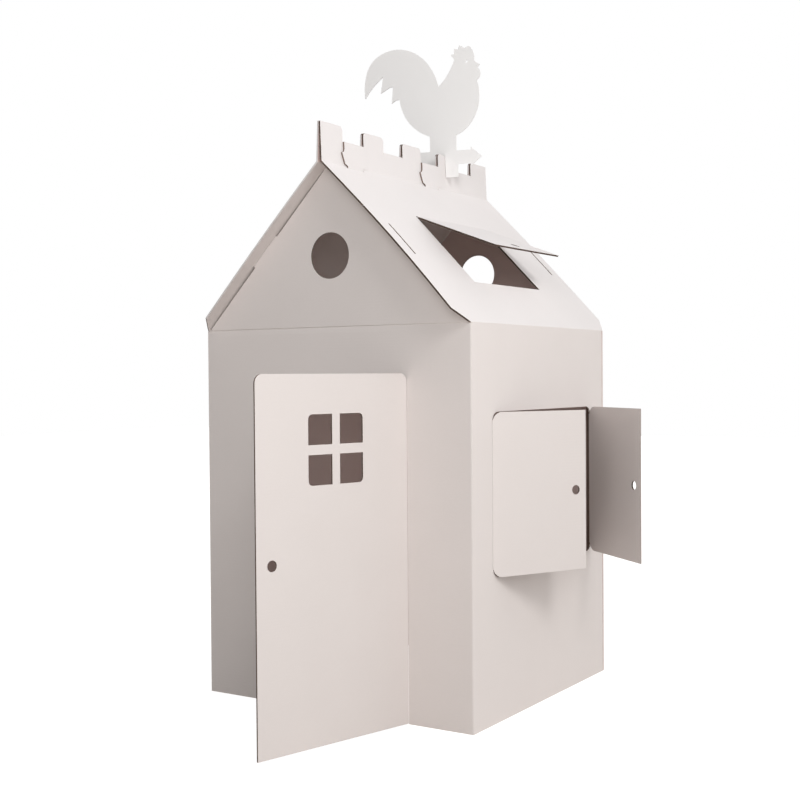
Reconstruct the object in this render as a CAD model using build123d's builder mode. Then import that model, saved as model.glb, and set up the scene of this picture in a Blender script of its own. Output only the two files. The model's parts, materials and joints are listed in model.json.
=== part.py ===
from build123d import *
import os
from math import atan2, cos, hypot, radians, sin, tan

# A folding playhouse of corrugated board. Sizes are in millimetres and degrees.
# The origin is the middle of the back wall's foot. X runs right as seen from the front,
# Y runs from front to back and Z runs up.

# Board
BOARD = 4.0  # thickness
FIT = 0.25  # gap where two pieces meet
KERF = 0.5  # gap cut round a flap

# House
HOUSE_WIDTH = 750.0
HOUSE_DEPTH = 705.0
EAVES_HEIGHT = 900.0
ROOF_RISE = 378.0  # from the eaves crease to the ridge crease
OVERHANG = 40.0  # roof past each gable wall
GLUE_FLAP = 40.0  # width of the flap glued behind the twin's wall
FLAP_MITRE = 14.0  # slant at each end of the glue flap

# Crest along the ridge
CREST_HEIGHT = 92.0
CREST_SPREAD = 3.5  # how far each crest leans in between its crease and its top
CRENEL_DEPTH = 36.0
MERLON_CORNER = 10.0

# Lock tongues that fold over the crest
TONGUES = 2  # on each sheet
TONGUE_DROP = 26.0  # from the fold over the crest to the shoulder
TONGUE_TAPER = 12.5  # how much narrower the nose is than the neck, each side
TONGUE_TUCK = 18.0  # nose below the ridge crease
CHEEK_WIDTH = 11.0  # tongue wider than its nose just above the slit, each side
CHEEK_RISE = 4.6  # from the slit up to the widest of the cheek
SLIT_END = 3.0  # slit past each side of the nose

# Gable tabs in the roof slots
TAB_FOOT = 211.5  # up the slope from the eaves
TAB_LENGTH = 98.5
TAB_SUNK = 1.0  # tab's end below the roof's face
SLOT_GAP = 1.0

# Round gable holes
HOLE_DIAMETER = 108.0
HOLE_RISE = 164.5  # above the eaves

# Door
DOOR_WIDTH = 417.0
DOOR_HEIGHT = 790.0
DOOR_CORNER = 19.0
DOOR_ANGLE = 75.0  # as it stands open
DOOR_LIFT = 2.0  # clear of the floor
PANE = 64.5
PANE_BAR = 21.0
PANE_CORNER = 11.0
PANES_REACH = 205.5  # hinge to the middle of the panes
PANES_HEIGHT = 629.5
DOOR_FINGER_HEIGHT = 397.0
FINGER_HOLE = 24.0
FINGER_INSET = 40.0  # from the free edge

# Window and shutters
WINDOW_WIDTH = 532.0
WINDOW_HEIGHT = 372.0
WINDOW_SILL = 330.0
WINDOW_BACK = 5.0  # behind the middle of the wall
WINDOW_CORNER = 27.0
SHUTTER_FINGER_HOLE = 22.0
SHUTTER_FINGER_INSET = 30.0  # from the free edge
FRONT_SHUTTER_ANGLE = 26.7
REAR_SHUTTER_ANGLE = 50.8

# Skylight
SKYLIGHT_FOOT = 142.0  # up the slope from the eaves
SKYLIGHT_LENGTH = 231.0
SKYLIGHT_WIDTH = 339.0
SKYLIGHT_BACK = 11.0  # behind the middle of the roof
SKYLIGHT_ANGLE = 25.2

# Rooster
ROOSTER_HEIGHT = 292.0  # above the crest top
ROOSTER_FORWARD = 7.0  # of the merlon's middle
ROOSTER_ANGLE = 15.0
POLE_WIDTH = 73.0
POLE_HEIGHT = 53.0  # crest top to the belly
FOOT_WIDTH = 82.0
FOOT_DROP = 58.0
ARROW_REACH = 105.5  # each way from the pole's middle
ARROW_HEIGHT = 35.5
ARROW_TOP = 12.0  # above the crest top
BARB_LENGTH = 30.0
BARB_FLARE = 8.0
EYE = 7.0

# Worked out from the sizes above
ROOF_LENGTH = HOUSE_DEPTH + 2 * OVERHANG
STEP = ROOF_LENGTH / (4 * TONGUES + 1)
LEAN = atan2(CREST_SPREAD, CREST_HEIGHT)
CREST_LENGTH = hypot(CREST_SPREAD, CREST_HEIGHT)
FOLD_X = FIT / 2 + BOARD / cos(LEAN) + CREST_SPREAD
RIDGE_HEIGHT = EAVES_HEIGHT + ROOF_RISE
CREST_TOP = RIDGE_HEIGHT + CREST_HEIGHT
PITCH = atan2(ROOF_RISE, HOUSE_WIDTH / 2 - FOLD_X)
FLOOR = CREST_LENGTH - CRENEL_DEPTH  # crenel floor, up the crest from its crease
LOW_FLOOR = FLOOR - BOARD - FIT  # floor where the twin's tongue passes over
FLOOR_HEIGHT = RIDGE_HEIGHT + FLOOR * cos(LEAN)
CENTRE_Y = (BOARD - HOUSE_DEPTH) / 2
UPRIGHT = radians(90)

# Places along the roof, counted from the sheet's own gable
MERLONS = [STEP * (2 * i + 0.5) - ROOF_LENGTH / 2 for i in range(2 * TONGUES + 1)]
CRENELS = [STEP * (2 * i + 1.5) - ROOF_LENGTH / 2 for i in range(2 * TONGUES)]
OWN_TONGUES = CRENELS[1::2]
TWIN_TONGUES = CRENELS[0::2]

# Where the two sheets stand: each is drawn about the middle of the floor
HOME = Location((0, CENTRE_Y, 0))
TWIN = HOME * Location((0, 0, 0), (0, 0, 180))


def placed(home, plane):
    """A plane of the house, moved to where a sheet stands."""
    return Plane(home * plane.location)


def outward(corner, heading, along, depth):
    """A point of the folded profile: along a panel from a corner, and depth into the board."""
    x = corner[0] - along * cos(heading) - depth * sin(heading)
    z = corner[1] + along * sin(heading) - depth * cos(heading)
    return (x, z)


def inside_fold(corner, heading, next_heading):
    """The inner corner of a fold between two panels."""
    return outward(corner, heading, BOARD * tan((next_heading - heading) / 2), BOARD)


EAVES = (HOUSE_WIDTH / 2, EAVES_HEIGHT)
RIDGE = (FOLD_X, RIDGE_HEIGHT)
CREST_HEADING = UPRIGHT - LEAN
EAVES_INSIDE = inside_fold(EAVES, UPRIGHT, PITCH)
RIDGE_INSIDE = inside_fold(RIDGE, PITCH, CREST_HEADING)
WALL_TOP = EAVES_INSIDE[1]


def crest_x(height, out=0.0):
    """Distance of the crest's outer face, or of a face further out, from the middle."""
    return FOLD_X - (height - RIDGE_HEIGHT) * tan(LEAN) + out / cos(LEAN)


def section(y):
    """A plane across the house at y, with X across and Y up."""
    return Plane((0, y, 0), x_dir=(1, 0, 0), z_dir=(0, -1, 0))


GABLE = section(-HOUSE_DEPTH / 2)
ROOF = Plane((EAVES[0], 0, EAVES[1]), x_dir=(0, 1, 0), z_dir=(sin(PITCH), 0, cos(PITCH)))
CREST = Plane((RIDGE[0], 0, RIDGE[1]), x_dir=(0, 1, 0), z_dir=(cos(LEAN), 0, sin(LEAN)))


def far_crest(y):
    """The twin's outer crest face at its crenel floor, with Y running down it."""
    place = (-crest_x(FLOOR_HEIGHT), y, FLOOR_HEIGHT)
    return Plane(place, x_dir=(0, 1, 0), z_dir=(-cos(LEAN), 0, sin(LEAN))).offset(FIT)


def across(points):
    """The same points on the other side of the middle, in reverse order."""
    return [(-x, z) for x, z in reversed(points)]


def folded_sheet(home):
    """Half the house: gable wall, side wall, glue flap, roof and crest in one folded sheet."""
    gable_in = BOARD - HOUSE_DEPTH / 2
    side_in = HOUSE_WIDTH / 2 - BOARD
    flap_in = HOUSE_DEPTH / 2 - 2 * BOARD - FIT
    neck = STEP / 2 - FIT
    nose = STEP / 2 - TONGUE_TAPER
    with BuildPart() as sheet:
        # Gable wall, side wall and glue flap
        with BuildSketch(placed(home, Plane.XY)):
            with BuildLine():
                Polyline(
                    (-HOUSE_WIDTH / 2, gable_in),
                    (side_in, gable_in),
                    (side_in, flap_in),
                    (side_in - GLUE_FLAP, flap_in),
                )
                offset(amount=BOARD, side=Side.RIGHT, kind=Kind.ARC)
            make_face()
        extrude(amount=WALL_TOP)
        # Slanted ends of the glue flap
        with BuildSketch(placed(home, section(flap_in))):
            for height, slant in ((0, FLAP_MITRE), (WALL_TOP, -FLAP_MITRE)):
                with BuildLine():
                    Polyline(
                        (side_in, height),
                        (side_in - GLUE_FLAP, height),
                        (side_in - GLUE_FLAP, height + slant),
                        close=True,
                    )
                make_face()
        extrude(amount=-BOARD, mode=Mode.SUBTRACT)
        # Room for the twin's eaves on the raw end of the gable wall
        with BuildSketch(placed(home, GABLE)):
            with Locations((-HOUSE_WIDTH / 2, WALL_TOP)):
                Rectangle(2 * (BOARD + FIT), 2 * FIT)
        extrude(amount=-BOARD, mode=Mode.SUBTRACT)
        # Roof and the lower crest
        with BuildSketch(placed(home, section(0))):
            with BuildLine():
                Polyline(
                    EAVES_INSIDE,
                    (HOUSE_WIDTH / 2, WALL_TOP),
                    EAVES,
                    RIDGE,
                    outward(RIDGE, CREST_HEADING, LOW_FLOOR, 0),
                    outward(RIDGE, CREST_HEADING, LOW_FLOOR, BOARD),
                    RIDGE_INSIDE,
                    close=True,
                )
            make_face()
        extrude(amount=ROOF_LENGTH / 2, both=True)
        # Eaves corners, slanted from the wall out to the full overhang
        with BuildSketch(placed(home, ROOF)):
            for end in (-1, 1):
                wall = end * HOUSE_DEPTH / 2
                out = end * OVERHANG
                with BuildLine():
                    Polyline(
                        (wall, 0),
                        (wall + out, OVERHANG),
                        (wall + 2 * out, OVERHANG),
                        (wall + 2 * out, -OVERHANG),
                        (wall, -OVERHANG),
                        close=True,
                    )
                make_face()
        extrude(amount=3 * BOARD, both=True, mode=Mode.SUBTRACT)
        # Merlons
        with BuildSketch(placed(home, CREST)) as merlons:
            with Locations(*[(y, LOW_FLOOR) for y in MERLONS]):
                Rectangle(STEP, CREST_LENGTH - LOW_FLOOR, align=(Align.CENTER, Align.MIN))
            tops = merlons.vertices().group_by(Axis.Y)[-1].sort_by(Axis.X)
            fillet(tops[1:-1], MERLON_CORNER)
        extrude(amount=-BOARD)
        # Slits beside the ridge for the twin's tongues
        with BuildSketch(placed(home, CREST)):
            with Locations(*[(y, 0) for y in TWIN_TONGUES]):
                Rectangle(2 * (nose + SLIT_END), 4 * BOARD, align=(Align.CENTER, Align.MAX))
        extrude(amount=BOARD + 2 * FIT, mode=Mode.SUBTRACT)
        # Slots over both gables
        with BuildSketch(placed(home, ROOF)):
            gable_mid = (HOUSE_DEPTH - BOARD) / 2
            tab_mid = TAB_FOOT + TAB_LENGTH / 2
            with Locations((-gable_mid, tab_mid), (gable_mid, tab_mid)):
                Rectangle(BOARD + 2 * SLOT_GAP, TAB_LENGTH + 2 * SLOT_GAP)
        extrude(amount=3 * BOARD, both=True, mode=Mode.SUBTRACT)
        # Lock tongues
        for y in OWN_TONGUES:
            with BuildSketch(placed(home, section(y))):
                with BuildLine():
                    under = FLOOR_HEIGHT - BOARD
                    root = under - 2 * BOARD
                    leg = FIT + BOARD
                    Polyline(
                        (crest_x(FLOOR_HEIGHT), FLOOR_HEIGHT),
                        (-crest_x(FLOOR_HEIGHT, leg), FLOOR_HEIGHT),
                        (-crest_x(under, leg), under),
                        (crest_x(under, -BOARD), under),
                        (crest_x(root, -BOARD), root),
                        (crest_x(root), root),
                        close=True,
                    )
                make_face()
            extrude(amount=neck, both=True)
            with BuildSketch(placed(home, far_crest(y))):
                with BuildLine():
                    Polyline((0, BOARD / 2), (neck, BOARD / 2), (neck, TONGUE_DROP - MERLON_CORNER))
                    JernArc((neck, TONGUE_DROP - MERLON_CORNER), (0, 1), MERLON_CORNER, -90)
                    Polyline(
                        (neck + MERLON_CORNER, TONGUE_DROP),
                        (nose + CHEEK_WIDTH, FLOOR - CHEEK_RISE),
                        (nose, FLOOR),
                        (nose, FLOOR + TONGUE_TUCK),
                        (0, FLOOR + TONGUE_TUCK),
                    )
                    mirror(about=Plane.YZ)
                make_face()
            extrude(amount=BOARD)
        # Gable and its tabs, just clear of the roof
        apex = outward(RIDGE_INSIDE, PITCH, 0, FIT)
        foot = (EAVES_INSIDE[0] - FIT / sin(PITCH), WALL_TOP)
        tab = [
            outward(EAVES, PITCH, TAB_FOOT, 2 * BOARD),
            outward(EAVES, PITCH, TAB_FOOT, TAB_SUNK),
            outward(EAVES, PITCH, TAB_FOOT + TAB_LENGTH, TAB_SUNK),
            outward(EAVES, PITCH, TAB_FOOT + TAB_LENGTH, 2 * BOARD),
        ]
        with BuildSketch(placed(home, GABLE)):
            for points in ([foot, apex] + across([foot, apex]), tab, across(tab)):
                with BuildLine():
                    Polyline(*points, close=True)
                make_face()
            with Locations((0, EAVES_HEIGHT + HOLE_RISE)):
                Circle(HOLE_DIAMETER / 2, mode=Mode.SUBTRACT)
        extrude(amount=-BOARD)
    return sheet.part


def door_plane(angle):
    """The door's outer face, from the hinge's foot, turned open by an angle."""
    a = radians(angle)
    place = (DOOR_WIDTH / 2, -HOUSE_DEPTH / 2, 0)
    return placed(HOME, Plane(place, x_dir=(-cos(a), -sin(a), 0), z_dir=(-sin(a), cos(a), 0)))


def front_shutter_plane(angle):
    """The front shutter's outer face, from the middle of its hinge."""
    a = radians(angle)
    place = (HOUSE_WIDTH / 2, WINDOW_BACK - WINDOW_WIDTH / 2, WINDOW_SILL + WINDOW_HEIGHT / 2)
    return placed(HOME, Plane(place, x_dir=(sin(a), cos(a), 0), z_dir=(-cos(a), sin(a), 0)))


def rear_shutter_plane(angle):
    """The rear shutter's outer face, from the middle of its hinge."""
    a = radians(angle)
    place = (HOUSE_WIDTH / 2, WINDOW_BACK + WINDOW_WIDTH / 2, WINDOW_SILL + WINDOW_HEIGHT / 2)
    return placed(HOME, Plane(place, x_dir=(sin(a), -cos(a), 0), z_dir=(-cos(a), -sin(a), 0)))


def skylight_plane(angle):
    """The skylight flap's outer face, from the middle of its hinge."""
    a = PITCH - radians(angle)
    x, z = outward(EAVES, PITCH, SKYLIGHT_FOOT + SKYLIGHT_LENGTH, 0)
    place = (x, SKYLIGHT_BACK, z)
    return placed(HOME, Plane(place, x_dir=(cos(a), 0, -sin(a)), z_dir=(-sin(a), 0, -cos(a))))


def door_outline(margin, lift):
    """The door, from its hinge on the Y axis, with rounded upper corners."""
    with BuildSketch(mode=Mode.PRIVATE) as outline:
        with Locations((margin, lift)):
            width = DOOR_WIDTH - 2 * margin
            Rectangle(width, DOOR_HEIGHT - margin - lift, align=(Align.MIN, Align.MIN))
        fillet(outline.vertices().group_by(Axis.Y)[-1], DOOR_CORNER - margin)
    return outline.sketch


def shutter_outline(margin):
    """A shutter, from its hinge on the Y axis, with rounded corners on the hinge side."""
    with BuildSketch(mode=Mode.PRIVATE) as outline:
        with Locations((margin, 0)):
            width = WINDOW_WIDTH / 2 - 2 * margin
            Rectangle(width, WINDOW_HEIGHT - 2 * margin, align=(Align.MIN, Align.CENTER))
        fillet(outline.vertices().group_by(Axis.X)[0], WINDOW_CORNER - margin)
    return outline.sketch


def skylight_outline(margin):
    """The skylight flap, from its hinge on the Y axis."""
    with BuildSketch(mode=Mode.PRIVATE) as outline:
        with Locations((margin, 0)):
            length = SKYLIGHT_LENGTH - 2 * margin
            Rectangle(length, SKYLIGHT_WIDTH - 2 * margin, align=(Align.MIN, Align.CENTER))
    return outline.sketch


with BuildPart() as front_right_sheet:
    add(folded_sheet(HOME))
    with BuildSketch(door_plane(0)):
        add(door_outline(0, -BOARD))
    extrude(amount=2 * BOARD, both=True, mode=Mode.SUBTRACT)
    for leaf in (front_shutter_plane(0), rear_shutter_plane(0)):
        with BuildSketch(leaf):
            add(shutter_outline(0))
        extrude(amount=2 * BOARD, both=True, mode=Mode.SUBTRACT)
    with BuildSketch(skylight_plane(0)):
        add(skylight_outline(0))
    extrude(amount=2 * BOARD, both=True, mode=Mode.SUBTRACT)

with BuildPart() as back_left_sheet:
    add(folded_sheet(TWIN))

with BuildPart() as door:
    with BuildSketch(door_plane(DOOR_ANGLE)):
        add(door_outline(KERF, DOOR_LIFT))
        with Locations((DOOR_WIDTH - FINGER_INSET, DOOR_FINGER_HEIGHT)):
            Circle(FINGER_HOLE / 2, mode=Mode.SUBTRACT)
        with Locations((PANES_REACH, PANES_HEIGHT)):
            RectangleRounded(2 * PANE + PANE_BAR, 2 * PANE + PANE_BAR, PANE_CORNER, mode=Mode.SUBTRACT)
            Rectangle(PANE_BAR, 2 * PANE + 2 * PANE_BAR)
            Rectangle(2 * PANE + 2 * PANE_BAR, PANE_BAR)
    extrude(amount=BOARD)

with BuildPart() as front_shutter:
    with BuildSketch(front_shutter_plane(FRONT_SHUTTER_ANGLE)):
        add(shutter_outline(KERF))
        with Locations((WINDOW_WIDTH / 2 - SHUTTER_FINGER_INSET, 0)):
            Circle(SHUTTER_FINGER_HOLE / 2, mode=Mode.SUBTRACT)
    extrude(amount=BOARD)

with BuildPart() as rear_shutter:
    with BuildSketch(rear_shutter_plane(REAR_SHUTTER_ANGLE)):
        add(shutter_outline(KERF))
        with Locations((WINDOW_WIDTH / 2 - SHUTTER_FINGER_INSET, 0)):
            Circle(SHUTTER_FINGER_HOLE / 2, mode=Mode.SUBTRACT)
    extrude(amount=BOARD)

with BuildPart() as skylight_flap:
    with BuildSketch(skylight_plane(SKYLIGHT_ANGLE)):
        add(skylight_outline(KERF))
        with Locations((SKYLIGHT_LENGTH - FINGER_INSET, 0)):
            Circle(FINGER_HOLE / 2, mode=Mode.SUBTRACT)
    extrude(amount=BOARD)

# The rooster stands on the last merlon but one, drawn from the crest top with its head toward +X
turn = radians(ROOSTER_ANGLE)
seat = (0, MERLONS[-2] - ROOSTER_FORWARD, CREST_TOP)
perch = Plane(seat, x_dir=(cos(turn), sin(turn), 0), z_dir=(sin(turn), -cos(turn), 0))
pole = POLE_WIDTH / 2
arrow_low = ARROW_TOP - ARROW_HEIGHT
barb = ARROW_REACH - BARB_LENGTH


def slot_half(height):
    """Half the rooster's slot at a height, wide enough to sit askew over the crest."""
    return (crest_x(height) + FIT) / cos(turn) + BOARD / 2 * tan(turn)


def drawn(*points):
    """Points of the bird, drawn in hundredths of its height from the crest top."""
    return [(x * ROOSTER_HEIGHT / 100, y * ROOSTER_HEIGHT / 100) for x, y in points]


tail_tip = drawn((-74.7, 56.8))
tail_foot = drawn((-4.1, 63.0))
comb_back = drawn((11.0, 86.3))
brow = drawn((25.0, 97.9))
beak_top = drawn((29.5, 84.2))
beak_foot = drawn((32.5, 77.7))
wattle = drawn((31.8, 66.8))
tail_root = drawn((-41.4, 53.8))
last_feather = drawn((-57.2, 76.0))
neck_side = [(pole, POLE_HEIGHT)]
rump_side = [(-pole, POLE_HEIGHT)]

with BuildPart() as rooster:
    with BuildSketch(placed(HOME, perch)):
        with BuildLine():
            # Tail, from its tip over the top to the back
            crown = drawn((-75.0, 70.5), (-68.2, 89.7), (-43.5, 100.0), (-20.2, 90.8), (-8.2, 74.7))
            Spline(*tail_tip, *crown, *tail_foot)
            ThreePointArc(*tail_foot, *drawn((5.8, 75.3)), *comb_back)
            # Comb
            teeth = drawn((7.5, 90.8), (10.6, 91.4), (11.0, 96.2), (14.7, 95.5), (15.8, 99.3), (20.5, 96.2))
            Polyline(*comb_back, *teeth, *brow)
            # Face, beak and wattle
            ThreePointArc(*brow, *drawn((28.8, 91.8)), *beak_top)
            Polyline(*beak_top, *drawn((34.6, 80.5)), *beak_foot)
            ThreePointArc(*beak_foot, *drawn((35.3, 71.6)), *wattle)
            # Breast
            Spline(*wattle, *drawn((34.2, 50.7), (25.3, 27.4)), *neck_side)
            # Pole, arrow and slotted foot
            Polyline(
                (pole, POLE_HEIGHT),
                (pole, ARROW_TOP),
                (barb, ARROW_TOP),
                (barb, ARROW_TOP + BARB_FLARE),
                (ARROW_REACH, ARROW_TOP - ARROW_HEIGHT / 2),
                (barb, arrow_low - BARB_FLARE),
                (barb, arrow_low),
                (FOOT_WIDTH / 2, arrow_low),
                (FOOT_WIDTH / 2, -FOOT_DROP),
                (slot_half(CREST_TOP - FOOT_DROP), -FOOT_DROP),
                (slot_half(CREST_TOP), FIT),
                (-slot_half(CREST_TOP), FIT),
                (-slot_half(CREST_TOP - FOOT_DROP), -FOOT_DROP),
                (-FOOT_WIDTH / 2, -FOOT_DROP),
                (-FOOT_WIDTH / 2, arrow_low),
                (-ARROW_REACH, arrow_low),
                (-ARROW_REACH, ARROW_TOP),
                (-pole, ARROW_TOP),
                (-pole, POLE_HEIGHT),
            )
            # Belly and tail feathers
            Spline(*rump_side, *drawn((-31.2, 30.5)), *tail_root)
            feathers = drawn((-44.5, 53.8), (-49.0, 51.0), (-47.6, 66.1), (-51.0, 65.8), (-59.6, 61.0))
            Polyline(*tail_root, *feathers, *last_feather)
            ThreePointArc(*last_feather, *drawn((-65.1, 69.2)), *tail_tip)
        make_face()
        with Locations(*drawn((22.4, 83.9))):
            Circle(EYE / 2, mode=Mode.SUBTRACT)
    extrude(amount=BOARD / 2, both=True)

os.makedirs("parts", exist_ok=True)
front_right_sheet.part.label = "front_right_sheet"
back_left_sheet.part.label = "back_left_sheet"
door.part.label = "door"
front_shutter.part.label = "front_shutter"
rear_shutter.part.label = "rear_shutter"
skylight_flap.part.label = "skylight_flap"
rooster.part.label = "rooster"
export_step(front_right_sheet.part, "parts/front_right_sheet.step")
export_step(back_left_sheet.part, "parts/back_left_sheet.step")
export_step(door.part, "parts/door.step")
export_step(front_shutter.part, "parts/front_shutter.step")
export_step(rear_shutter.part, "parts/rear_shutter.step")
export_step(skylight_flap.part, "parts/skylight_flap.step")
export_step(rooster.part, "parts/rooster.step")
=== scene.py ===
"""Dresses the folding playhouse: lined and fluted board, creases, studio light and camera."""

import json
import logging
import math
from collections.abc import Callable, Iterable
from dataclasses import dataclass, field
from enum import Enum

import bmesh
import bpy
from mathutils import Matrix, Vector


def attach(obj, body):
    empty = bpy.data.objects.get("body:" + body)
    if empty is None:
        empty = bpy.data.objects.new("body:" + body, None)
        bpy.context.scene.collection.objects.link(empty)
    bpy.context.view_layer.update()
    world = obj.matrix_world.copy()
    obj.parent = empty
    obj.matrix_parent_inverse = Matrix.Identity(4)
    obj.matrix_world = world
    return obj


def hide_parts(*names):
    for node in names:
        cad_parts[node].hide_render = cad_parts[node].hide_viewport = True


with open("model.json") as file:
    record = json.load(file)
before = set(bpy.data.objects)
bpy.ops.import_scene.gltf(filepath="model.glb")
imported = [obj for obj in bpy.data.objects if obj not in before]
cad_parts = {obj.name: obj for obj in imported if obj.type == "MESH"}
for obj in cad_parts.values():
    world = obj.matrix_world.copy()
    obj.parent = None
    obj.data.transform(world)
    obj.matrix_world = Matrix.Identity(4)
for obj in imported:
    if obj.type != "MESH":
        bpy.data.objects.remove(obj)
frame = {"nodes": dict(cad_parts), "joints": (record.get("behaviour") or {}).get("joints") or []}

log = logging.getLogger("playhouse")
IMAGE_WIDTH = 800
UP = Vector((0.0, 0.0, 1.0))
RIGHT = Vector((1.0, 0.0, 0.0))
REARWARD = Vector((0.0, 1.0, 0.0))
FACING = 0.8  # a face looks a given way above this cosine
SKIRTING = 0.3  # a face runs along a line below this cosine
TOUCH = 1e-5  # a point this near a plane, in metres, is on it
MERGE = 1e-6  # points this near each other, in metres, are one
SMOOTH = math.radians(30)  # edges that turn further stay sharp

Piece = bpy.types.Object
Tree = bpy.types.NodeTree
Socket = bpy.types.NodeSocket
Colour = tuple[float, float, float]
Room = tuple[float, float, float, float]  # start and end along, then across a panel


class Finish(Enum):
    """The finishes that a face of the board can have."""

    WALL = "wall_liner"
    ROOF = "roof_liner"
    INSIDE = "inside_liner"
    CARD = "bird_liner"
    KRAFT = "kraft_core"
    PRESSED = "pressed_edge"


Materials = dict[Finish, bpy.types.Material]


class Cut(Enum):
    """How a tool is taken to a board."""

    AWAY = "DIFFERENCE"
    WITHIN = "INTERSECT"


class Bench:
    """The hand moves that every piece is made with."""

    @staticmethod
    def clear() -> None:
        """Goes back to object mode with nothing selected."""
        if bpy.context.object and bpy.context.object.mode != "OBJECT":
            bpy.ops.object.mode_set(mode="OBJECT")
        bpy.ops.object.select_all(action="DESELECT")

    @staticmethod
    def pick(*pieces: Piece) -> None:
        """Selects some pieces only, the first one active.

        Args:
            pieces: The objects to select.
        """
        Bench.clear()
        for piece in pieces:
            piece.select_set(True)
        bpy.context.view_layer.objects.active = pieces[0]

    @staticmethod
    def mark(piece: Piece, wanted: Callable[[Vector], bool]) -> None:
        """Opens a piece in edit mode with some of its points selected.

        Args:
            piece: The object to open.
            wanted: Says from a point's place whether it is selected.
        """
        Bench.pick(piece)
        bpy.ops.object.mode_set(mode="EDIT")
        bpy.ops.mesh.select_mode(type="VERT")
        bpy.ops.mesh.select_all(action="DESELECT")
        mesh = bmesh.from_edit_mesh(piece.data)
        for point in mesh.verts:
            point.select_set(wanted(point.co))
        mesh.select_flush_mode()
        bmesh.update_edit_mesh(piece.data)

    @staticmethod
    def finish(piece: Piece, kind: str, **values: object) -> None:
        """Adds a modifier to a piece and applies it.

        Args:
            piece: The object that gets the modifier.
            kind: The modifier's type.
            values: The modifier's settings.
        """
        Bench.pick(piece)
        modifier = piece.modifiers.new(kind.lower(), kind)
        for name, value in values.items():
            setattr(modifier, name, value)
        bpy.ops.object.modifier_apply(modifier=modifier.name)

    @staticmethod
    def carve(piece: Piece, tool: Piece, cut: Cut) -> None:
        """Cuts a piece with a closed solid, whose room is taken away or kept."""
        Bench.finish(piece, "BOOLEAN", operation=cut.value, object=tool, solver="MANIFOLD")

    @staticmethod
    def settle(piece: Piece, place: Matrix) -> None:
        """Moves a piece and puts its place into its mesh.

        Args:
            piece: The object to move.
            place: Where it goes.
        """
        Bench.pick(piece)
        piece.matrix_world = place
        bpy.ops.object.transform_apply(location=True, rotation=True, scale=True)

    @staticmethod
    def slab(size: tuple[float, float, float], place: Matrix, taper: float = 1.0) -> Piece:
        """Makes a closed slab to cut with.

        Args:
            size: Its size along its own three axes.
            place: Where its middle goes.
            taper: How wide its far end is, as a share of its near end.

        Returns:
            The slab.
        """
        Bench.clear()
        bpy.ops.mesh.primitive_cube_add(size=1)
        slab = bpy.context.object
        Bench.mark(slab, lambda p: p.y > 0)
        bpy.ops.transform.resize(value=(taper, 1, 1))
        bpy.ops.mesh.select_all(action="SELECT")
        bpy.ops.transform.resize(value=size)
        Bench.settle(slab, place)
        return slab

    @staticmethod
    def join(pieces: list[Piece]) -> Piece:
        """Makes several pieces one object.

        Args:
            pieces: The objects to join.

        Returns:
            The joined object.
        """
        Bench.pick(*pieces)
        if len(pieces) > 1:
            bpy.ops.object.join()
        return bpy.context.object

    @staticmethod
    def drop(piece: Piece) -> None:
        """Removes a tool that is done with."""
        bpy.data.objects.remove(piece)


@dataclass(frozen=True)
class Stock:
    """The corrugated board that every piece is cut from, in metres."""

    thickness: float = 0.004
    liner: float = 0.00045
    core: float = 0.00035
    pitch: float = 0.0069  # from flute to flute
    steps: int = 8  # rows of points to a flute
    play: float = 0.00003  # between the core and a liner
    past: float = 0.002  # how far a hollow runs out past a cut edge
    fold: float = 0.0035  # board left whole beside a crease
    hem: float = 0.0009  # board left whole at an edge that the liner closes

    @property
    def hollow(self) -> float:
        """The room between the two liners."""
        return self.thickness - 2 * self.liner

    @property
    def swing(self) -> float:
        """How far the core's middle swings to each side."""
        return (self.hollow - self.core) / 2 - self.play

    def fluted_sheet(self, length: float, height: float) -> Piece:
        """Makes a fluted core sheet about the origin, its flutes along X.

        Args:
            length: Its size along the flutes.
            height: Its size across them.

        Returns:
            The core sheet.
        """
        rows = max(self.steps, round(height / self.pitch * self.steps))
        Bench.clear()
        bpy.ops.mesh.primitive_grid_add(x_subdivisions=1, y_subdivisions=rows, size=1)
        sheet = bpy.context.object
        nearest = 0.01
        for level in sorted({round(self.wave(k), 4) for k in range(self.steps)}):
            Bench.mark(sheet, lambda p: abs(self.wave(round((p.y + 0.5) * rows)) - level) < nearest)
            bpy.ops.transform.translate(value=(0, 0, level * self.swing))
        bpy.ops.mesh.select_all(action="SELECT")
        bpy.ops.transform.resize(value=(length, height, 1))
        Bench.finish(sheet, "SOLIDIFY", thickness=self.core, offset=0.0, use_even_offset=True)
        return sheet

    def wave(self, row: int) -> float:
        """The core's height at a row of points, from -1 to 1."""
        return math.sin(math.tau * row / self.steps)


@dataclass(frozen=True)
class Fold:
    """A crease: a line that the liner runs round."""

    point: Vector
    along: Vector
    reach: float = 0.0065

    def covers(self, place: Vector, normal: Vector) -> bool:
        """Whether a face lies on the crease's own paper.

        Args:
            place: The face's middle.
            normal: The way it faces.

        Returns:
            True for a face of the fold.
        """
        off = place - self.point
        away = (off - self.along * off.dot(self.along)).length
        return away < self.reach and abs(normal.dot(self.along)) < SKIRTING


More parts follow.
